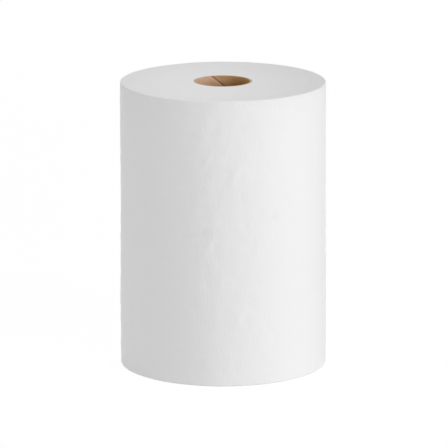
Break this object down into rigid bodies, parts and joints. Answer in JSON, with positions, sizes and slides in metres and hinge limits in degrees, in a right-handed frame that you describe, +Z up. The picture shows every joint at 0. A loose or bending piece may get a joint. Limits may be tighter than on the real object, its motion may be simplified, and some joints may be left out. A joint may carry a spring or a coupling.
{
  "type": "paper towel roll",
  "caption": "Full roll of plain white paper towel, wound tight on an open brown paperboard core and standing on its end.",
  "frame": {"origin": "centre of the base, on the winding axis", "axes": "+Z up along the winding axis; -Y is the side that the picture shows, and the loose end lies on the far side"},
  "size_m": [0.1457, 0.1459, 0.2032],
  "materials": {
    "towel_paper": "matt, faintly creped",
    "core_board": "matt, unbleached"
  },
  "bodies": {
    "root": {"paper_roll": "towel_paper", "core": "core_board"}
  },
  "joints": []
}
